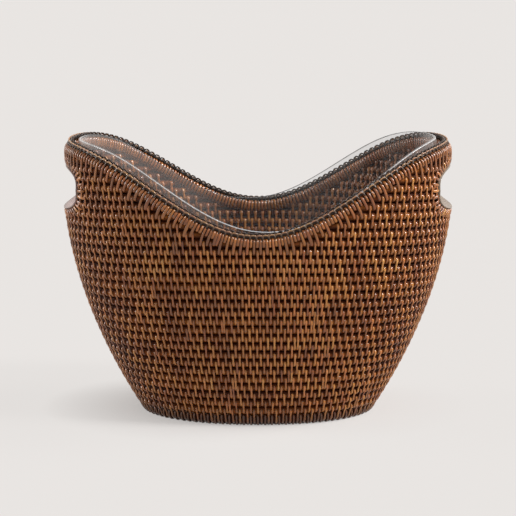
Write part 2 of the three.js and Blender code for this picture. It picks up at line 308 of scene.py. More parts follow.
def make_piece(name, points, faces, material, body, uv, tone, recess=0.0):
    """A mesh object from arrays of points and faces, with a map along and across each strip or rod,
    one tone for each and painted shade where it lies back in the weave, riding on a body."""
    mesh = bpy.data.meshes.new(name)
    corners = np.concatenate([face.ravel() for face in faces])
    totals = np.concatenate([np.full(len(face), face.shape[1]) for face in faces])
    mesh.vertices.add(points.size // 3)
    mesh.vertices.foreach_set("co", points.ravel().astype(np.float32))
    mesh.loops.add(len(corners))
    mesh.loops.foreach_set("vertex_index", corners.astype(np.int32))
    mesh.polygons.add(len(totals))
    mesh.polygons.foreach_set("loop_start", (np.cumsum(totals) - totals).astype(np.int32))
    mesh.polygons.foreach_set("use_smooth", np.ones(len(totals), bool))
    layer = mesh.uv_layers.new(name="length")
    layer.uv.foreach_set("vector", uv.reshape(-1, 2)[corners].ravel().astype(np.float32))
    for field, values in (("tone", tone), ("recess", recess)):
        values = np.broadcast_to(values, points.shape[:-1]).ravel().astype(np.float32)
        mesh.attributes.new(field, "FLOAT", "POINT")
        mesh.attributes[field].data.foreach_set("value", values)
    mesh.update(calc_edges=True)
    mesh.validate()
    mesh.materials.append(material)
    piece = new_object(name, mesh)
    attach(piece, body)
    return piece


def length_map(centre, across):
    """Map of many strips or rods: run along each one's centre, and place across it."""
    steps = np.linalg.norm(np.diff(centre, axis=1), axis=-1)
    uv = np.zeros((*centre.shape[:2], len(across), 2))
    uv[:, 1:, :, 0] = np.cumsum(steps, axis=1)[:, :, None]
    uv[..., 1] = across
    return uv


# Section of a flat strip with a low crown, in shares of its width and thickness
STRIP_SECTION = np.array([[-0.5, -0.5], [-0.4, 0.22], [0, 0.5], [0.4, 0.22], [0.5, -0.5]])


def strip_points(centre, level, width, thickness):
    """Strips along paths: at each station the section is set off across the path and off its face,
    where across is the level direction squared to the path and the face is across times path."""
    path = unit(np.gradient(centre, axis=1))
    across = unit(level - path * np.sum(level * path, -1, keepdims=True))
    face = np.cross(across, path)
    width = np.broadcast_to(width, centre.shape[:2])[..., None, None]
    over = across[:, :, None] * STRIP_SECTION[:, :1] * width
    return centre[:, :, None] + over + face[:, :, None] * STRIP_SECTION[:, 1:] * thickness


def make_strips(
    name, centre, level, width, tone, material, thickness=STRIP_THICKNESS, recess=0.0
):
    """A piece of many strips, each with its own tone."""
    points = strip_points(centre, level, width, thickness)
    faces = tube_faces(*points.shape[:3], closed=False)
    uv = length_map(centre, STRIP_SECTION[:, 0] + 0.5)
    tone = tone[:, None, None]
    recess = np.broadcast_to(recess, centre.shape[:2])[..., None]
    make_piece(name, points, faces, material, "basket", uv, tone, recess)


ROD_SIDES = 10
ROD_ANGLES = -(np.arange(ROD_SIDES) + 0.5) * FULL_TURN / ROD_SIDES
ROD_RING = np.stack([np.cos(ROD_ANGLES), np.sin(ROD_ANGLES)], -1)
ROD_SECTION = ROD_RING * [ROD_DEPTH, 0.5]  # of a wall rod: outward, and up in courses
# Tone over a rod's section, as painted shade: dark in the gaps between rods, lighter on its faces
ROD_GAP_SHADE = np.interp(ROD_RING[:, 0], [-0.95, -0.6, 0, 0.6, 0.95], [0.6, 0.1, 0, 0.15, 0.75])
ROD_OWN_TONE = 0.6  # how far the tones of two rods may lie apart


def make_rods(name, points, closed, material, tone=None, side_shade=0.0):
    """A piece of many rods alike from their points, rod by station by side, each with its own tone
    and one more for each side, which is painted shade."""
    count, stations, sides = points.shape[:3]
    faces = tube_faces(count, stations, sides, closed)
    uv = length_map(points.mean(2), np.arange(sides) / sides)
    tone = rng.random(count) if tone is None else np.full(count, tone)
    # The painted shade of each side goes on the rod's tone
    tone = tone[:, None, None] * ROD_OWN_TONE + side_shade
    return make_piece(name, points, faces, material, "basket", uv, tone)


# Materials


class Socket:
    """An output of a node. Arithmetic on it adds Math nodes."""

    def __init__(self, look, output):
        self.look = look
        self.output = output

    def maths(self, operation, first, second):
        return self.look.node("ShaderNodeMath", {0: first, 1: second}, operation=operation)

    def __add__(self, other):
        return self.maths("ADD", self, other)

    def __sub__(self, other):
        return self.maths("SUBTRACT", self, other)

    def __rsub__(self, other):
        return self.maths("SUBTRACT", other, self)

    def __mul__(self, other):
        return self.maths("MULTIPLY", self, other)

    def __pow__(self, other):
        return self.maths("POWER", self, other)


class Look:
    """The node tree of a material or of the world."""

    def __init__(self, name, kind="materials"):
        self.owner = getattr(bpy.data, kind).new(name)
        self.owner.use_nodes = True
        self.tree = self.owner.node_tree
        self.tree.nodes.clear()

    def node(self, kind, inputs=None, output=0, **settings):
        """Adds a node: its settings come first, then the values or links of its sockets."""
        node = self.tree.nodes.new(kind)
        for key, value in settings.items():
            if key == "stops":
                ramp = node.color_ramp.elements
                while len(ramp) < len(value):
                    ramp.new(1)
                for stop, (place, colour) in zip(ramp, value.items()):
                    stop.position = place
                    stop.color = (*colour, 1)
            else:
                setattr(node, key, value)
        for key, value in (inputs or {}).items():
            if isinstance(value, Socket):
                self.tree.links.new(value.output, node.inputs[key])
            else:
                node.inputs[key].default_value = value
        return Socket(self, node.outputs[output] if node.outputs else None)

    def finish(self, surface, output="ShaderNodeOutputMaterial"):
        """Puts the surface on the output and returns the finished material or world."""
        self.node(output, {"Surface": surface})
        return self.owner


STAIN_STOPS = {0: (1, 0.86, 0.98), 0.5: (1, 1, 0.9), 1: (0.97, 1, 0.86)}
STAIN_SPREAD = 9.7  # how quickly the stain's colour changes with a strip's tone
STAIN_DRIFT = 0.8  # and over the basket
DRIFT_SCALE = 55.0  # clouds of stain to a metre
FIBRE_ALONG = 260  # fibre marks to a metre of strip
FIBRE_ACROSS = 9  # and across a strip
FIBRE_SHIFT = 53  # how far the marks of two strips lie apart for a tone of 1
FIBRE_HEIGHT = 0.0004
FIBRE_ROUGHNESS = 0.22  # how much rougher the fibres are than the grooves
# Shares of its own tone, its fibres and the drift in a strip's shade, and what goes off that
OWN_SHADE, FIBRE_SHADE, DRIFT_SHADE, SHADE_OFF = 0.62, 0.6, 0.5, 0.39
# Painted shade: how much darker a strip gets at its edges and where it lies back
EDGE_SHADE_DEPTH = 0.5
RECESS_SHADE_DEPTH = 0.52
COAT_ROUGHNESS = 0.12
RATTAN_SPECULAR = 0.15


def rattan(name, stops, fibre_depth, roughness, coat):
    """Stained rattan under lacquer: each strip or rod has its own tone and a redder or yellower
    stain, fibres run along it, its edges and the parts that lie back get painted shade, and the
    stain drifts over the basket."""
    look = Look(name)
    tone = look.node("ShaderNodeAttribute", output="Fac", attribute_name="tone")
    place = look.node("ShaderNodeUVMap", uv_map="length")
    along = look.node("ShaderNodeSeparateXYZ", {0: place})
    across = Socket(look, along.output.node.outputs[1])
    place = {0: along * FIBRE_ALONG, 1: across * FIBRE_ACROSS, 2: tone * FIBRE_SHIFT}
    place = look.node("ShaderNodeCombineXYZ", place)
    fibre = look.node("ShaderNodeTexNoise", {"Vector": place, "Scale": 1.0, "Detail": 3.0})
    spot = look.node("ShaderNodeTexCoord", output="Object")
    drift = look.node("ShaderNodeTexNoise", {"Vector": spot, "Scale": DRIFT_SCALE, "Detail": 2.0})
    shade = tone * OWN_SHADE + fibre * FIBRE_SHADE + drift * DRIFT_SHADE - SHADE_OFF
    colour = look.node("ShaderNodeValToRGB", {0: shade}, stops=stops)
    stain = tone * STAIN_SPREAD + drift * STAIN_DRIFT
    stain = look.node("ShaderNodeMath", {0: stain}, operation="FRACT")
    stain = look.node("ShaderNodeValToRGB", {0: stain}, stops=STAIN_STOPS)
    multiply = {"data_type": "RGBA", "blend_type": "MULTIPLY"}
    colour = look.node("ShaderNodeMix", {0: 1.0, 6: colour, 7: stain}, 2, **multiply)
    recess = look.node("ShaderNodeAttribute", output="Fac", attribute_name="recess")
    # Painted shade across a strip towards its edges, and along it where it lies back
    edge = (1 - (across * 2 - 1) ** 2 * EDGE_SHADE_DEPTH) * (1 - recess * RECESS_SHADE_DEPTH)
    colour = look.node("ShaderNodeMix", {0: 1.0, 6: colour, 7: edge}, 2, **multiply)
    bump = {"Strength": fibre_depth, "Distance": FIBRE_HEIGHT, "Height": fibre}
    bump = look.node("ShaderNodeBump", bump)
    surface = {
        "Base Color": colour,
        "Roughness": fibre * FIBRE_ROUGHNESS + (roughness - FIBRE_ROUGHNESS / 2),
        "Coat Weight": coat,
        "Coat Roughness": COAT_ROUGHNESS,
        "Specular IOR Level": RATTAN_SPECULAR,
        "Normal": bump,
    }
    return look.finish(look.node("ShaderNodeBsdfPrincipled", surface))


ACRYLIC_TINT = (0.95, 0.955, 0.96, 1)
ACRYLIC_GLOSS = {"Color": (1, 1, 1, 1), "Roughness": 0.06}
HAZE_AND_REFLECTION_COLOUR = (0.80, 0.74, 0.70, 1)
GLOSS_FACING = 0.012  # share of gloss where the acrylic is seen straight on
GLOSS_GLANCING = 0.8  # what the edge of sight adds to it
GLOSS_POWER = 5
EDGE_SCALE = 90.0  # clouds in the cut edge to a metre
EDGE_CLOUDS = 0.1  # how far they go from the edge's grey, as a share
EDGE_ROUGHNESS = 0.12


def clear_acrylic():
    """Clear polished acrylic: see-through, with a mirror gloss that grows towards the edge of
    sight, and a haze with painted reflection and highlight that differs from place to place."""
    look = Look("clear_acrylic")
    haze_and_reflection_share = look.node("ShaderNodeAttribute", output="Fac", attribute_name="tone")
    clear = look.node("ShaderNodeBsdfTransparent", {0: ACRYLIC_TINT})
    gloss = look.node("ShaderNodeBsdfGlossy", ACRYLIC_GLOSS)
    haze_and_reflection = look.node("ShaderNodeBsdfDiffuse", {"Color": HAZE_AND_REFLECTION_COLOUR})
    facing = look.node("ShaderNodeLayerWeight", {"Blend": 0.5}, "Facing")
    glossy = facing**GLOSS_POWER * GLOSS_GLANCING + GLOSS_FACING
    skin = look.node("ShaderNodeMixShader", {0: glossy, 1: clear, 2: gloss})
    return look.finish(look.node("ShaderNodeMixShader", {0: haze_and_reflection_share, 1: skin, 2: haze_and_reflection}))


def acrylic_edge(name, grey, cover):
    """A side of the liner's cut edge: the outer side is a painted highlight, as of an edge that
    gathers light, and the inner side is painted shade.
    """
    look = Look(name)
    spot = look.node("ShaderNodeTexCoord", output="Object")
    clouds = look.node("ShaderNodeTexNoise", {"Vector": spot, "Scale": EDGE_SCALE})
    stops = {0: (grey * (1 - EDGE_CLOUDS),) * 3, 1: (grey * (1 + EDGE_CLOUDS),) * 3}
    colour = look.node("ShaderNodeValToRGB", {0: clouds}, stops=stops)
    surface = {"Base Color": colour, "Roughness": EDGE_ROUGHNESS, "Alpha": cover}
    return look.finish(look.node("ShaderNodeBsdfPrincipled", surface))


FLOOR_COLOUR = (0.812, 0.783, 0.761, 1)
FLOOR_MATTE = (0.642, 0.619, 0.602, 1)
FLOOR_EVEN = 0.92  # share of the floor that shows as an even backdrop under a faint shadow
FLOOR_NEAR = 0.42  # the same beside the foot
EVEN_FROM, EVEN_BY = 0.8, 1.9  # where it starts to grow and is full, in half-sizes of the foot


def seen_rays(look):
    """1 where the floor or world is seen, straight on, in a gloss or through glass, and else 0."""
    rays = ("Is Camera Ray", "Is Glossy Ray", "Is Transmission Ray")
    camera, glossy, clear = [look.node("ShaderNodeLightPath", output=ray) for ray in rays]
    seen = camera + glossy + clear
    return seen.maths("MINIMUM", seen, 1)


def pale_floor():
    """Plain matte floor, seen partly as an even backdrop."""
    look = Look("pale_floor")
    matte = look.node("ShaderNodeBsdfDiffuse", {"Color": FLOOR_MATTE})
    even = look.node("ShaderNodeEmission", {"Color": FLOOR_COLOUR})
    spot = look.node("ShaderNodeTexCoord", output="Object")
    foot = (2 / BASE_LENGTH, 2 / BASE_DEPTH, 0)
    spot = look.node("ShaderNodeVectorMath", {0: spot, 1: foot}, operation="MULTIPLY")
    away = look.node("ShaderNodeVectorMath", {0: spot}, "Value", operation="LENGTH")
    away = {0: away, 1: EVEN_FROM, 2: EVEN_BY, 3: FLOOR_NEAR, 4: FLOOR_EVEN}
    away = look.node("ShaderNodeMapRange", away)
    share = seen_rays(look) * away
    return look.finish(look.node("ShaderNodeMixShader", {0: share, 1: matte, 2: even}))


FILL_COLOUR = (1, 0.985, 0.97, 1)
FILL_STRENGTH = 0.12


def pale_world():
    """Faint light from all round, seen past the floor's edge in the floor's colour."""
    look = Look("fill", "worlds")
    fill = look.node("ShaderNodeBackground", {"Color": FILL_COLOUR, "Strength": FILL_STRENGTH})
    backdrop = look.node("ShaderNodeBackground", {"Color": FLOOR_COLOUR})
    surface = look.node("ShaderNodeMixShader", {0: seen_rays(look), 1: fill, 2: backdrop})
    return look.finish(surface, "ShaderNodeOutputWorld")


BROWN_STOPS = {
    0: (0.12, 0.031, 0.005),
    0.35: (0.338, 0.1, 0.014),
    0.65: (0.55, 0.196, 0.032),
    1: (0.77, 0.385, 0.108),
}
TAN_STOPS = {
    0: (0.155, 0.044, 0.007),
    0.4: (0.37, 0.116, 0.019),
    0.75: (0.59, 0.22, 0.041),
    1: (0.8, 0.38, 0.098),
}
# Tans of the crest's outer loops: their own colour, made lighter as a painted highlight
CREST_LIT_STOPS = {0: (0.16, 0.048, 0.012), 0.5: (0.39, 0.15, 0.046), 1: (0.65, 0.335, 0.15)}
LINING_STOPS = {0: (0.26, 0.185, 0.145), 0.5: (0.47, 0.365, 0.3), 1: (0.68, 0.56, 0.48)}
ROPE_STOPS = {0: (0.02, 0.008, 0.003), 0.5: (0.065, 0.026, 0.01), 1: (0.17, 0.075, 0.028)}
DARK_STOPS = {0: (0.016, 0.002, 0.0002), 0.6: (0.09, 0.017, 0.001), 1: (0.3, 0.09, 0.015)}
strip_brown = rattan("strip_brown", BROWN_STOPS, fibre_depth=0.35, roughness=0.45, coat=1.0)
strip_tan = rattan("strip_tan", TAN_STOPS, fibre_depth=0.35, roughness=0.42, coat=1.0)
crest_lit_tan = rattan("crest_lit_tan", CREST_LIT_STOPS, fibre_depth=0.35, roughness=0.42, coat=1.0)
lining_pale = rattan("lining_pale", LINING_STOPS, fibre_depth=0.15, roughness=0.38, coat=0.3)
rod_dark = rattan("rod_dark", DARK_STOPS, fibre_depth=0.25, roughness=0.6, coat=0.0)
rope_brown = rattan("rope_brown", ROPE_STOPS, fibre_depth=0.35, roughness=0.42, coat=0.4)
acrylic = clear_acrylic()
edge_bright = acrylic_edge("edge_bright", grey=0.8, cover=0.65)
edge_dark = acrylic_edge("edge_dark", grey=0.04, cover=0.9)

# Rods

WALL_STEPS = 192


def rod_points(turn, course):
    """Points of rods along the wall, with the section set outward from the wall's middle."""
    point, out, _, _ = wall_frame(turn, course)
    return point + out * ROD_SECTION[:, :1]


def wall_rods():
    """Rods of oval section all the way round, one for each course under the saddle."""
    turn = even_turns(WALL_STEPS)[None, :, None]
    course = np.arange(SIDE_COURSES)[:, None, None] + 0.5
    points = rod_points(turn, course + ROD_SECTION[:, 1])
    piece = make_rods("wall_rods", points, True, rod_dark, side_shade=ROD_GAP_SHADE)
    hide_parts(*[f"wall_course_{course + 1:02d}" for course in range(SIDE_COURSES)])


def foot_rod():
    """The thicker rod that the basket stands on, flat beneath."""
    turn = even_turns(WALL_STEPS)[None, :, None]
    points = rod_points(turn, FOOT_RISE * (ROD_SECTION[:, 1] - 0.5))
    points[..., 2] = np.maximum(points[..., 2], STRIP_THICKNESS)
    piece = make_rods("foot_rod", points, True, rod_dark)
    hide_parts("foot_course")


END_STEPS = 64
RIM_TUCK = 0.1  # courses by which a rod goes in under the border
RIM_TABLE_STEPS = 400
RIM_TABLE_TURN = np.linspace(0, np.pi / 2, RIM_TABLE_STEPS)
RIM_TABLE_COURSE = rim_course(RIM_TABLE_TURN)


def border_turn(course):
    """Turn from an end at which the border comes down to a course."""
    return np.interp(-course, -RIM_TABLE_COURSE, RIM_TABLE_TURN)


def end_rods(name, start_turn, nodes):
    """Rods round one end, above the saddle: each side of a rod's section runs to where the border
    or the hand-hold cuts it off."""
    slot_reach = (HANDHOLD_HEIGHT / 2 + COURSE_TIP) / END_PITCH - 0.5
    spans = []
    for course in range(SIDE_COURSES, END_COURSES):
        level = course + 0.5 + ROD_SECTION[:, 1]
        far = border_turn(level - RIM_TUCK)
        if abs(course + 0.5 - HANDHOLD_MIDDLE) > slot_reach:
            spans.append((course, -far, far))
            continue
        height = np.abs(level - HANDHOLD_MIDDLE) * END_PITCH / (HANDHOLD_HEIGHT / 2)
        near = turn_across(HANDHOLD_WIDTH / 2 * slot_share(height), level)
        spans.append((course, near, np.maximum(far, near)))
        spans.append((course, -np.maximum(far, near), -near))
    course, first, last = [np.array(part)[:, None] for part in zip(*spans)]
    share = np.linspace(0, 1, END_STEPS)[:, None]
    turn = start_turn + first + (last - first) * share
    level = course[..., None] + 0.5 + ROD_SECTION[:, 1]
    top, bottom = handhold_span(turn, 0)
    level = np.where(level > HANDHOLD_MIDDLE, np.maximum(level, top), np.minimum(level, bottom))
    points = rod_points(turn, level)
    piece = make_rods(name, points, False, rod_dark, side_shade=ROD_GAP_SHADE)
    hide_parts(*nodes)


wall_rods()
foot_rod()
for side, start_turn in (("right", 0), ("left", np.pi)):
    ends = [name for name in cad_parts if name.startswith(side) and "_course_" in name]
    end_rods(f"{side}_end_rods", start_turn, ends)

# Binding strips

TABLE_STEPS = 1441
STITCH_ROOM = 0.0024  # least distance along the wall between strips of neighbouring rows
STITCH_EVENING = 12  # rounds of evening out a row


def ring_table(course):
    """Turn and run once round the wall at a course."""
    turn = np.linspace(0, FULL_TURN, TABLE_STEPS)
    return turn, path_run(wall_point(turn, np.full_like(turn, course)))


def stitch_pitch(row):
    """Pitch of the strips in a row."""
    return STITCH_LOW + (STITCH_HIGH - STITCH_LOW) * np.clip(row / SIDE_COURSES, 0, 1)


def square_slide(turn, row):
    """How far along the wall a line square to the rods drifts from its turn for each course."""
    level = wall_frame(turn, row)[2]
    return -np.sum((wall_point(turn, row + 0.5) - wall_point(turn, row - 0.5)) * level, -1)


def stitch_rows():
    """Turns of the strips, row by row. A strip stands midway between two of the row below. Where
    the wall has grown by a strip's pitch one space takes two, and the row is evened out without
    passing the strips below."""
    turn, run = ring_table(-1.0)
    below = spread(STITCH_LOW, run, turn)
    rows = [below]
    for row in range(END_COURSES + 2):
        turn, run = ring_table(row)
        start = np.interp(below, turn, run) + square_slide(below, 0 * below + row - 0.5)
        space = neighbours(start, run[-1])[1] - start
        extra = max(round(run[-1] / stitch_pitch(row)) - len(start), 0)
        twice = np.zeros(len(start), bool)
        twice[rng.choice(len(start), extra, replace=False)] = True
        low = np.concatenate([start, start[twice] + STITCH_ROOM])
        high = np.concatenate([start + space - STITCH_ROOM * twice, (start + space)[twice]])
        first = start + space * np.where(twice, 1 / 3, 1 / 2)
        place = np.concatenate([first, (start + space * 2 / 3)[twice]])
        order = np.argsort(place)
        low, high, place = low[order] + STITCH_ROOM, high[order] - STITCH_ROOM, place[order]
        for _ in range(STITCH_EVENING):
            before, after = neighbours(place, run[-1])
            place = np.clip((place + (before + after) / 2) / 2, low, np.maximum(low, high))
        below = np.sort(np.interp(place % run[-1], run, turn))
        rows.append(below)
    return rows


WRAP_ANGLES = np.radians([112, 78, 48, 20])
BEND_ANGLES = np.radians([112, 78, 42])
ROD_SHARE = BEND_HEIGHT / END_PITCH
OVER_ROD = 0.5 + ROD_SHARE * np.sin(BEND_ANGLES)
BEND_LIFT = BEND_DEPTH * np.cos(BEND_ANGLES)
GAP_RISE = [-0.42, -0.16, 0.16, 0.42]
GAP_LIFT = BEND_DEPTH - np.array([0, 5, 5, 0]) / 10000
# A strip along its length: climb in courses from the gap it crosses, lift off the wall's middle,
# width as a share, and painted shade where it lies back
STRIP_RISE = np.concatenate([-OVER_ROD, GAP_RISE, OVER_ROD[::-1]])
STRIP_LIFT = np.concatenate([BEND_LIFT, GAP_LIFT, BEND_LIFT[::-1]])
STRIP_SWELL = np.array([90, 98, 102, 94, 70, 70, 94, 102, 98, 90]) / 100
STRIP_RECESS_SHADE = np.array([100, 80, 50, 25, 0, 0, 5, 10, 40, 100]) / 100
# A strip from the foot up lies back further, with more painted shade
LOWEST_RECESS_SHADE = np.array([120, 115, 110, 100, 70, 20, 25, 45, 70, 100]) / 100
# A strip that goes round the foot alone, with painted shade along it and on its tone
FOOT_ANGLES = np.radians(np.linspace(-100, 112, len(STRIP_RISE)))
FOOT_CLIMB = FOOT_RISE / 2 * np.sin(FOOT_ANGLES) - FOOT_RISE / 2 + 1
FOOT_LIFT = BEND_DEPTH * np.cos(FOOT_ANGLES)
FOOT_RECESS_SHADE = np.linspace(1.2, 0.9, len(STRIP_RISE))
FOOT_SHADED_TONE = 0.4  # share of its tone that it keeps
# Unevenness of the strips' lean, place and width
LEAN_SPREAD = 0.00018
PLACE_SPREAD = 0.0002
WIDTH_SPREAD = 0.05
OWN_TONE, ROW_TONE = 0.7, 0.3  # shares of a strip's tone that are its own and its row's
INSIDE_WIDTH = 1.3  # of a strip, as a share of its width outside
# Painted shade on the strips inside the basket, taken off their tone
INSIDE_SHADE = 0.05
RIM_OVERLAP = 0.15  # courses that a strip may reach past the border's underside
LOWER_ROWS = 10  # rows of strips in the lower piece

rows = stitch_rows()
row_tone = rng.random(len(rows) + 1)
row_of = np.concatenate([np.full(len(turns), row - 1) for row, turns in enumerate(rows)])
turn_of = np.concatenate(rows)
rim_of = rim_course(turn_of)


def strip_path(row, turn, rise, lift, lean):
    """Path of strips from their row and turn: a climb in courses with a lift off the wall's
    middle, leaning along the wall as they climb. Returns the path and the level direction."""
    course = row[:, None] + rise
    _, _, _, speed = wall_frame(turn, row)
    leaning = turn[:, None] + lean[:, None] * rise / speed[:, None]
    point, out, level, _ = wall_frame(leaning, course)
    centre = point + out * lift[..., None]
    centre[..., 2] = np.maximum(centre[..., 2], STRIP_THICKNESS / 2)
    return centre, level


def bound_strips(name, chosen, inside):
    """Strips bound over two rods each: round the lower rod from beneath, straight across the gap
    and over the upper rod. Inside the basket the lift is turned round."""
    row, turn = row_of[chosen], turn_of[chosen]
    column = row[:, None]
    rise = np.where((column == 0) & (STRIP_RISE < 0), STRIP_RISE * FOOT_RISE, STRIP_RISE)
    course = column + np.where(column == -1, FOOT_CLIMB, rise)
    top, bottom = [edge[:, None] for edge in handhold_span(turn, HANDHOLD_MARGIN)]
    course = np.where(column <= bottom, np.minimum(course, bottom), course)
    rise = np.where(column >= top, np.maximum(course, top), course) - column
    lift = np.where(column == -1, FOOT_LIFT, STRIP_LIFT)
    # Painted shade where the strips lie back, more in the lowest rows
    recess = np.where(column == 0, LOWEST_RECESS_SHADE, STRIP_RECESS_SHADE)
    recess = np.where(column == -1, FOOT_RECESS_SHADE, recess)
    lean = STRIP_LEAN + rng.normal(0, LEAN_SPREAD, len(row))
    if inside:
        lift, lean = -lift, -lean
        turn = turn + STITCH_HIGH / 2 / wall_frame(turn, row)[3]
    turn = turn + rng.normal(0, PLACE_SPREAD, len(row)) / wall_frame(turn, row)[3]
    centre, level = strip_path(row, turn, rise, lift, lean + square_slide(turn, row))
    width = STRIP_WIDTH * stitch_pitch(column) / STITCH_HIGH * STRIP_SWELL
    width = width * (1 + rng.normal(0, WIDTH_SPREAD, (len(row), 1)))
    tone = OWN_TONE * rng.random(len(row)) + ROW_TONE * row_tone[row]
    # Painted shade on the strips round the foot
    tone = np.where(row == -1, FOOT_SHADED_TONE * tone, tone)
    # Inside the basket the strips are turned round, wider, and darker by painted shade
    if inside:
        level, width, tone = -level, width * INSIDE_WIDTH, tone - INSIDE_SHADE
    make_strips(name, centre, level, width, tone, strip_brown, recess=recess)


slot_top, slot_bottom = handhold_span(turn_of, HANDHOLD_MARGIN)
under_rim = row_of + 1 <= rim_of + RIM_OVERLAP
whole = under_rim & ((row_of <= slot_bottom) | (row_of >= slot_top))
end = np.where(np.cos(turn_of) > 0, 2, 3)
band = np.where(row_of < LOWER_ROWS, 0, np.where(row_of <= SIDE_COURSES, 1, end))
for index, part in enumerate(("lower", "upper", "right_end", "left_end")):
    bound_strips(f"binding_{part}", whole & (band == index), inside=False)
    bound_strips(f"inner_binding_{part}", whole & (band == index), inside=True)

# Rim

RIM_STEPS = 288
BORDER_HALF = np.array([0.0038, 0.0034])
BORDER_PLACE = np.array([0, 0.0039])  # outward and up from the border's underside
CREST_HALF = np.array([0.0016, 0.0015])
CREST_PLACE = np.array([0, 0.0094])
CREST_TONE = -0.1


def rim_tube(name, half, place, material, tone=None):
    """A rod along the rim: an oval section carried along it, outward and up across it."""
    point, out, _, up = rim_frame(even_turns(RIM_STEPS))
    ring = ROD_RING * half + place
    points = point[:, None] + out[:, None] * ring[:, :1] + up[:, None] * ring[:, 1:]
    return make_rods(name, points[None], True, material, tone)


def rim_table():
    """Turn and run once round the rim."""
    turn = np.linspace(0, FULL_TURN, TABLE_STEPS)
    return turn, path_run(wall_point(turn, rim_course(turn)))


# Loops of the crest: shares of the pitch along the rim, of the rise and of the strand, and painted
# shade where they lie back
FLAT_ALONG = np.array([2, 3, 6, 20, 50, 80, 94, 97, 98]) / 100
ARCH_ALONG = np.array([1, 5, 13, 29, 50, 71, 87, 95, 99]) / 100
LOOP_RISE = np.array([0, 45, 80, 97, 100, 97, 80, 45, 0]) / 100
LOOP_SWELL = np.array([60, 60, 70, 100, 110, 100, 70, 60, 60]) / 100
LOOP_RECESS_SHADE = np.array([170, 170, 120, 10, 0, 10, 120, 170, 170]) / 100
LOOP_PITCH = 0.0065
LOOP_TONES = 0.4  # how far the tones of two loops may lie apart
# Low and high place of a loop, outward and up from the border's underside, and its strand
OUTER_LOOPS = (0.0032, 0.0066), (0.0018, 0.0119), 0.0012
INNER_LOOPS = (-0.0032, 0.0066), (-0.0018, 0.0126), 0.0014


def crest_loops(name, along, low, high, strand, tone, material):
    """Strands looped along the top of the border: each rises from a low place to a high one, runs
    along for a pitch and goes down again."""
    turn, run = rim_table()
    turn = spread(LOOP_PITCH, run, turn)
    space = neighbours(turn, FULL_TURN)[1] - turn
    turn = turn[:, None] + space[:, None] * along
    place = np.array(low) + (np.array(high) - low) * LOOP_RISE[:, None]
    centre = rim_point(turn, place[:, 0], place[:, 1])
    _, out, _, _ = rim_frame(turn)
    tone = tone + LOOP_TONES * rng.random(len(turn))
    width = strand * LOOP_SWELL
    make_strips(name, centre, -out, width, tone, material, strand, LOOP_RECESS_SHADE)


WRAP_OUT = np.array([46, 48, 46, 32, 0, -32, -46, -48, -45, -36]) / 10000
WRAP_UP = np.array([5, 37, 67, 82, 85, 82, 67, 37, 0, -30]) / 10000
WRAP_WIDTH = 0.0030
WRAP_PITCH = 0.0036
WRAP_MEETING = 6  # rounds of finding where the wraps meet the rim
WRAP_EVENING = 6  # rounds of evening them out along it
WRAP_ROUNDING = 2  # rounds of rounding their bends
WRAP_START = 0.18  # least share of a course from a wrap's lower end to the border
WRAP_CLIMB = [0.35, 0.75]  # shares of the climb from a wrap's bend to the border
WRAP_BULGE = np.array([0.0001, 0.0003])  # how much further off the wall it lies there
WRAP_SPREAD = 0.1  # unevenness of the wraps' width
WRAP_TONES = 0.5  # how far the tones of two wraps may lie apart


def rim_slant(turn):
    """Drift of a line square to the rim, in turn for each course that it climbs."""
    course = rim_course(turn)
    _, _, _, up = rim_frame(turn)
    _, _, level, speed = wall_frame(turn, course)
    rise = wall_point(turn, course + 0.5) - wall_point(turn, course - 0.5)
    pitch = np.linalg.norm(rise, axis=-1)
    return np.sum(up * level, -1) / np.sum(up * rise, -1) * pitch**2 / speed


def wrap_starts(turn, start):
    """Turns of the wraps at the rim and at their lower ends, and their first courses: those that
    carry on a row of strips, slanting up to the rim, and short ones set evenly between them."""
    top = turn
    for _ in range(WRAP_MEETING):
        top = turn + rim_slant(turn) * (rim_course(top) - start) / 2
    order = np.argsort(top)
    top, turn, start = top[order], turn[order], start[order]
    rim_turn, rim_run = rim_table()
    run = np.interp(top, rim_turn, rim_run)
    gap = neighbours(run, rim_run[-1])[1] - run
    count = np.maximum(np.round(gap / WRAP_PITCH).astype(int) - 1, 0)
    place = np.arange(count.sum()) - np.repeat(np.cumsum(count) - count, count) + 1
    between = np.repeat(run, count) + np.repeat(gap / (count + 1), count) * place
    short = np.interp(between % rim_run[-1], rim_run, rim_turn)
    low = short - rim_slant(short) * WRAP_START / 2
    run = np.append(run, between)
    order = np.argsort(run)
    run = run[order]
    for _ in range(WRAP_EVENING):
        before, after = neighbours(run, rim_run[-1])
        run = (before + 2 * run + after) / 4
    top = np.interp(run % rim_run[-1], rim_run, rim_turn)
    start = np.append(start, rim_course(short) - WRAP_START)
    return top, np.append(turn, low)[order], start[order]


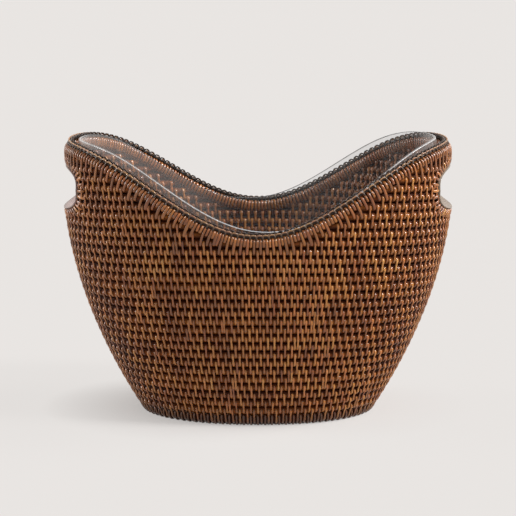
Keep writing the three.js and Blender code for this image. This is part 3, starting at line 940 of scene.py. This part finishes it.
def rim_wraps():
    """Strips from the top courses over the border: each comes out of the gap under a rod, climbs
    over the rod and the border's outer side, and goes down its inner side, square to the rim."""
    chosen = ~under_rim & (row_of <= rim_of + RIM_OVERLAP) & (row_of > 0)
    turn, low, start = wrap_starts(turn_of[chosen], row_of[chosen] - 1.0)
    rim = rim_course(turn)
    start = np.minimum(start, rim - WRAP_START)
    rise = 0.5 - ROD_SHARE * np.sin(WRAP_ANGLES) + np.zeros((len(turn), 1))
    climb = (rim - start - rise[:, -1])[:, None] * WRAP_CLIMB
    rise = np.concatenate([rise, rise[:, -1:] + climb], 1)
    lift = np.concatenate([np.cos(WRAP_ANGLES) * BEND_DEPTH, BEND_DEPTH + WRAP_BULGE])
    slide = (turn - low + math.pi) % FULL_TURN - math.pi
    climbed = rise / (rim - start)[:, None]
    slanted = low[:, None] + slide[:, None] * climbed**2
    point, out, level, _ = wall_frame(slanted, start[:, None] + rise)
    upper = rim_point(np.repeat(turn[:, None], len(WRAP_OUT), 1), WRAP_OUT, WRAP_UP)
    _, _, along, _ = rim_frame(turn)
    centre = np.concatenate([point + out * lift[:, None], upper], 1)
    first = len(WRAP_ANGLES)
    before, after = centre[:, first - 1 : -2], centre[:, first + 1 :]
    for _ in range(WRAP_ROUNDING):
        centre[:, first:-1] = (before + 2 * centre[:, first:-1] + after) / 4
    hint = np.concatenate([level, np.repeat(along[:, None], upper.shape[1], 1)], 1)
    width = WRAP_WIDTH * (1 + rng.normal(0, WRAP_SPREAD, (len(turn), 1)))
    # Painted shade where a wrap bends in under the rod
    recess = np.zeros(centre.shape[1])
    recess[: len(lift)] = 1 - np.clip(lift / BEND_DEPTH, 0, 1)
    tone = WRAP_TONES * rng.random(len(turn))
    make_strips("rim_wraps", centre, hint, width, tone, strip_tan, recess=recess)


rim_core = rim_tube("rim_core", BORDER_HALF, BORDER_PLACE, rod_dark)
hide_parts("rim_border")
crest_core = rim_tube("crest_core", CREST_HALF, CREST_PLACE, rope_brown, CREST_TONE)
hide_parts("rim_crest_plait")
# The crest's outer loops are painted as lit, in light tan at the top tone; its inner loops are
# painted as in shade, in dark brown
crest_loops("crest_outer_loops", FLAT_ALONG, *OUTER_LOOPS, tone=1.0, material=crest_lit_tan)
crest_loops("crest_inner_loops", ARCH_ALONG + 0.5, *INNER_LOOPS, tone=0.0, material=rope_brown)
rim_wraps()

# Hand-holds

LINING_STEPS = 96
LINING_SIDES = 12
LINING_POWER = 4
OUTLINE_STEPS = 721
EDGING_PITCH = 0.0052
EDGING_WIDTH = 0.0031
EDGING_NUDGE = 0.01  # step along the outline that gives its direction, in radians
EDGING_AWAY = np.array([82, 74, 50, 22, 6, 0]) / 10000
EDGING_LIFT = np.array([12, 34, 41, 43, 40, 30]) / 10000


def handhold_point(angle, margin, lift, half_turn):
    """A point off a hand-hold's outline, moved out along the wall by a margin and lifted off."""
    turn, course = handhold_edge(angle, margin)
    point, out, _, _ = wall_frame(turn + half_turn, course)
    return point + out * lift[..., None]


def handhold(side, half_turn):
    """A flat strip bent round the slot, and strips that bind it to the wall all round."""
    x, y = oval(even_turns(LINING_SIDES), LINING_POWER)
    lift = x * (WALL / 2 + LINING_INSET)
    margin = (y - 1) * LINING_THICKNESS / 2 - LINING_INSET
    points = handhold_point(-even_turns(LINING_STEPS)[:, None], margin, lift, half_turn)
    piece = make_rods(f"{side}_lining", points[None], True, lining_pale)
    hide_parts(f"{side}_handhold_lining")
    angle = np.linspace(0, FULL_TURN, OUTLINE_STEPS)
    run = path_run(handhold_point(angle, 0.0, 0 * angle, half_turn))
    angle = spread(EDGING_PITCH, run, angle)[:, None]
    for face, name in ((1, "edging"), (-1, "inner_edging")):
        lift = face * EDGING_LIFT
        centre = handhold_point(angle, EDGING_AWAY, lift, half_turn)
        beside = handhold_point(angle + EDGING_NUDGE, EDGING_AWAY, lift, half_turn)
        level = face * unit(beside - centre)
        tone = rng.random(len(angle))
        make_strips(f"{side}_{name}", centre, level, EDGING_WIDTH, tone, strip_brown)


handhold("right", 0)
handhold("left", np.pi)

# Floor mat

MAT_COILS = 9
MAT_ROD_STEPS = 6
MAT_STEPS = 144
MAT_GROOVE = 0.4  # depth of the grooves between the turns, as a share of half the thickness
MAT_REACH = 0.002  # how far the coil goes in under the foot
MAT_EYE = 0.005  # the coil's middle, as a share of its size
# Painted shade in the grooves between the turns
MAT_GROOVE_SHADE = 0.1  # tone in the grooves


def floor_coil():
    """Flat oval coil as one skin, from the middle of the underside out to the edge and back over
    the top: each row is an oval, raised to rounded ridges whose crowns follow a spiral."""
    low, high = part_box("floor_mat")
    share = np.linspace(MAT_EYE, 1, MAT_COILS * MAT_ROD_STEPS + 1)
    side = np.repeat([-1, 1], len(share))[:, None]
    share = np.append(share, share[::-1])[:, None]
    turn = -even_turns(MAT_STEPS)[None, :]
    place = (share * MAT_COILS - turn / FULL_TURN) % 1
    crown = np.sqrt(np.clip(1 - (2 * place - 1) ** 2, 0, 1))
    x, y = oval(turn, OVAL_POWER)
    x = x * share * ((high[0] - low[0]) / 2 + MAT_REACH)
    y = y * share * ((high[1] - low[1]) / 2 + MAT_REACH)
    half = (high[2] - low[2]) / 2
    z = low[2] + half + side * half * (1 - MAT_GROOVE + MAT_GROOVE * crown)
    points = np.stack([x, y, z], -1)
    along = share * turn * (high[0] - low[0]) / 2
    uv = np.stack([along, np.full(along.shape, 0.5)], -1)
    faces = tube_faces(1, len(points), MAT_STEPS, False)
    # Painted shade: darker towards the grooves between the turns
    tone = MAT_GROOVE_SHADE + (1 - MAT_GROOVE_SHADE) * crown
    piece = make_piece("floor_coil", points, faces, rope_brown, "basket", uv, tone)
    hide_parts("floor_mat")


floor_coil()

# Liner

LINER_STEPS = 192
LINER_ROWS = 24
BEND_ROWS = 6
LINER_EDGE = 0.0007  # radius of the rim's edges
# Haze of the liner everywhere, then painted reflection towards the ends, on the left and at
# the front under the rim, and a painted highlight at the ends under the rim: each the share of
# cover that comes in from one place to another, counted from the middle to an end or from the
# base to the rim
HAZE = 0.005
SIDES_REFLECTION = 0.03, 0.12, 0.4
LEFT_REFLECTION = 0.05, 0.04, 0.3
NEAR_REFLECTION = 0.06, 0.86, 0.97
ENDS_HIGHLIGHT = 0.12, 0.96, 0.995
RIM_HIGHLIGHT = 1, 0.92, 0.98  # for the painted highlight at the ends


def liner_rows():
    """Rows of the liner's skin from the underside round the corner, up the outside, over the rim
    and down to the floor, as share of the climb to the rim, raise and inset."""
    bend = np.linspace(0, np.pi / 2, BEND_ROWS)
    climb = np.linspace(0, 1, LINER_ROWS)[1:-1]
    edge, corner = LINER_EDGE, LINER_CORNER
    rows = [(0, corner * (1 - math.cos(a)), corner * (1 - math.sin(a))) for a in bend]
    rows += [(share, corner * (1 - share), 0) for share in climb]
    rows += [(1, edge * (math.sin(a) - 1), edge * (1 - math.cos(a))) for a in bend]
    rows += [(1, edge * (math.cos(a) - 1), LINER_WALL - edge * (1 - math.sin(a))) for a in bend]
    inner = LINER_FLOOR + corner
    rows += [(share, inner * (1 - share), LINER_WALL) for share in climb[::-1]]
    for a in bend:
        rows.append((0, inner - corner * math.sin(a), LINER_WALL + corner * (1 - math.cos(a))))
    return np.array(rows)


def come_in(value, amount, low, high):
    """An amount that comes in by a smooth step as a value goes from a low to a high one."""
    share = np.clip((value - low) / (high - low), 0, 1)
    return amount * (share * share * (3 - 2 * share))


def acrylic_tub():
    """The liner's skin: at each row an ellipse that keeps its clearances to the wall, drawn in by
    the draft below the saddle rim, all turned a little in the basket."""
    share, lift, inset = [column[:, None] for column in liner_rows().T]
    turn = -even_turns(LINER_STEPS)[None, :]
    rim = saddle_height(np.cos(turn))
    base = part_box("acrylic_liner")[0][2]
    height = base + (rim - base) * share + lift
    drawn_in = BORDER_WIDTH / 2 + LINER_DRAFT * (rim - height) + inset
    half_length = np.interp(height, END_PROFILE[2], END_PROFILE[1])
    half_depth = np.interp(height, SIDE_PROFILE[2], SIDE_PROFILE[1])
    x = (half_length - LINER_END_CLEARANCE - drawn_in) * np.cos(turn)
    y = (half_depth - LINER_SIDE_CLEARANCE - drawn_in) * np.sin(turn)
    cos, sin = math.cos(LINER_TURN), math.sin(LINER_TURN)
    points = np.stack([x * cos - y * sin, x * sin + y * cos, height], -1)
    rows = len(points)
    uv = np.stack(np.broadcast_arrays(turn / FULL_TURN + 1, share), -1)
    faces = tube_faces(1, rows, LINER_STEPS, False)
    ends = np.abs(np.cos(turn))
    near = (1 - np.sin(turn)) / 2
    # Painted reflection of the studio towards the ends, on the left and at the front under the rim,
    # and a painted highlight at the ends, over an even haze
    haze_and_reflection = HAZE + come_in(ends, *SIDES_REFLECTION) + come_in(-np.cos(turn), *LEFT_REFLECTION)
    haze_and_reflection = haze_and_reflection + come_in(share, *NEAR_REFLECTION) * near
    haze_and_reflection = haze_and_reflection + come_in(ends, *ENDS_HIGHLIGHT) * come_in(share, *RIM_HIGHLIGHT)
    piece = make_piece("acrylic_tub", points, faces, acrylic, "liner", uv, haze_and_reflection)
    for material in (edge_bright, edge_dark):
        piece.data.materials.append(material)
    over_rim = share[:, 0] == 1
    outer = over_rim & (inset[:, 0] < LINER_WALL / 3)
    inner = over_rim & (inset[:, 0] > LINER_WALL * 2 / 3)
    quads = np.where(outer[:-1] & outer[1:], 1, np.where(inner[:-1] & inner[1:], 2, 0))
    index = np.zeros(len(piece.data.polygons), np.int32)
    index[: (rows - 1) * LINER_STEPS] = np.repeat(quads, LINER_STEPS)
    piece.data.polygons.foreach_set("material_index", index)
    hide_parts("acrylic_liner")


acrylic_tub()

# Studio

FLOOR_HALF = 20.0
# Lamps: name, strength, spread, tilt from straight down and swing from the front, in degrees
LAMPS = (
    ("key", 1.2, 40, 46, 86),
    ("glint", 2.1, 14, 40, 66),
    ("front", 0.1, 60, 40, -25),
    ("right_back", 1.5, 24, 62, 104),
    ("left_back", 1.55, 28, 74, -102),
)
IMAGE_SIDE = 516
CAMERA_FOCAL = 2190  # in pixels of the image
CAMERA_PLACE = (0, -2.190, 0.5234)
CAMERA_DOWN = math.radians(9.606)
CAMERA_FAR = 100
SENSOR = 36.0


def studio():
    """Pale floor, soft lamps from the right, the left and the front, faint light from all round,
    and the camera."""
    mesh = bpy.data.meshes.new("floor")
    corners = ((-1, -1), (1, -1), (1, 1), (-1, 1))
    corners = [(x * FLOOR_HALF, y * FLOOR_HALF, 0) for x, y in corners]
    mesh.from_pydata(corners, [], [(0, 1, 2, 3)])
    mesh.materials.append(pale_floor())
    new_object("floor", mesh)

    for name, energy, angle, tilt, swing in LAMPS:
        light = bpy.data.lights.new(name, "SUN")
        light.energy = energy
        light.angle = math.radians(angle)
        lamp = new_object(name, light)
        lamp.rotation_euler = (math.radians(tilt), 0, math.radians(swing))

    scene = bpy.context.scene
    scene.world = pale_world()
    scene.view_settings.view_transform = "Standard"

    camera = bpy.data.cameras.new("camera")
    camera.sensor_width = SENSOR
    camera.lens = SENSOR * CAMERA_FOCAL / IMAGE_SIDE
    camera.clip_end = CAMERA_FAR
    scene.camera = new_object("camera", camera)
    scene.camera.location = CAMERA_PLACE
    scene.camera.rotation_euler = (math.pi / 2 - CAMERA_DOWN, 0, 0)


studio()

bpy.context.view_layer.update()
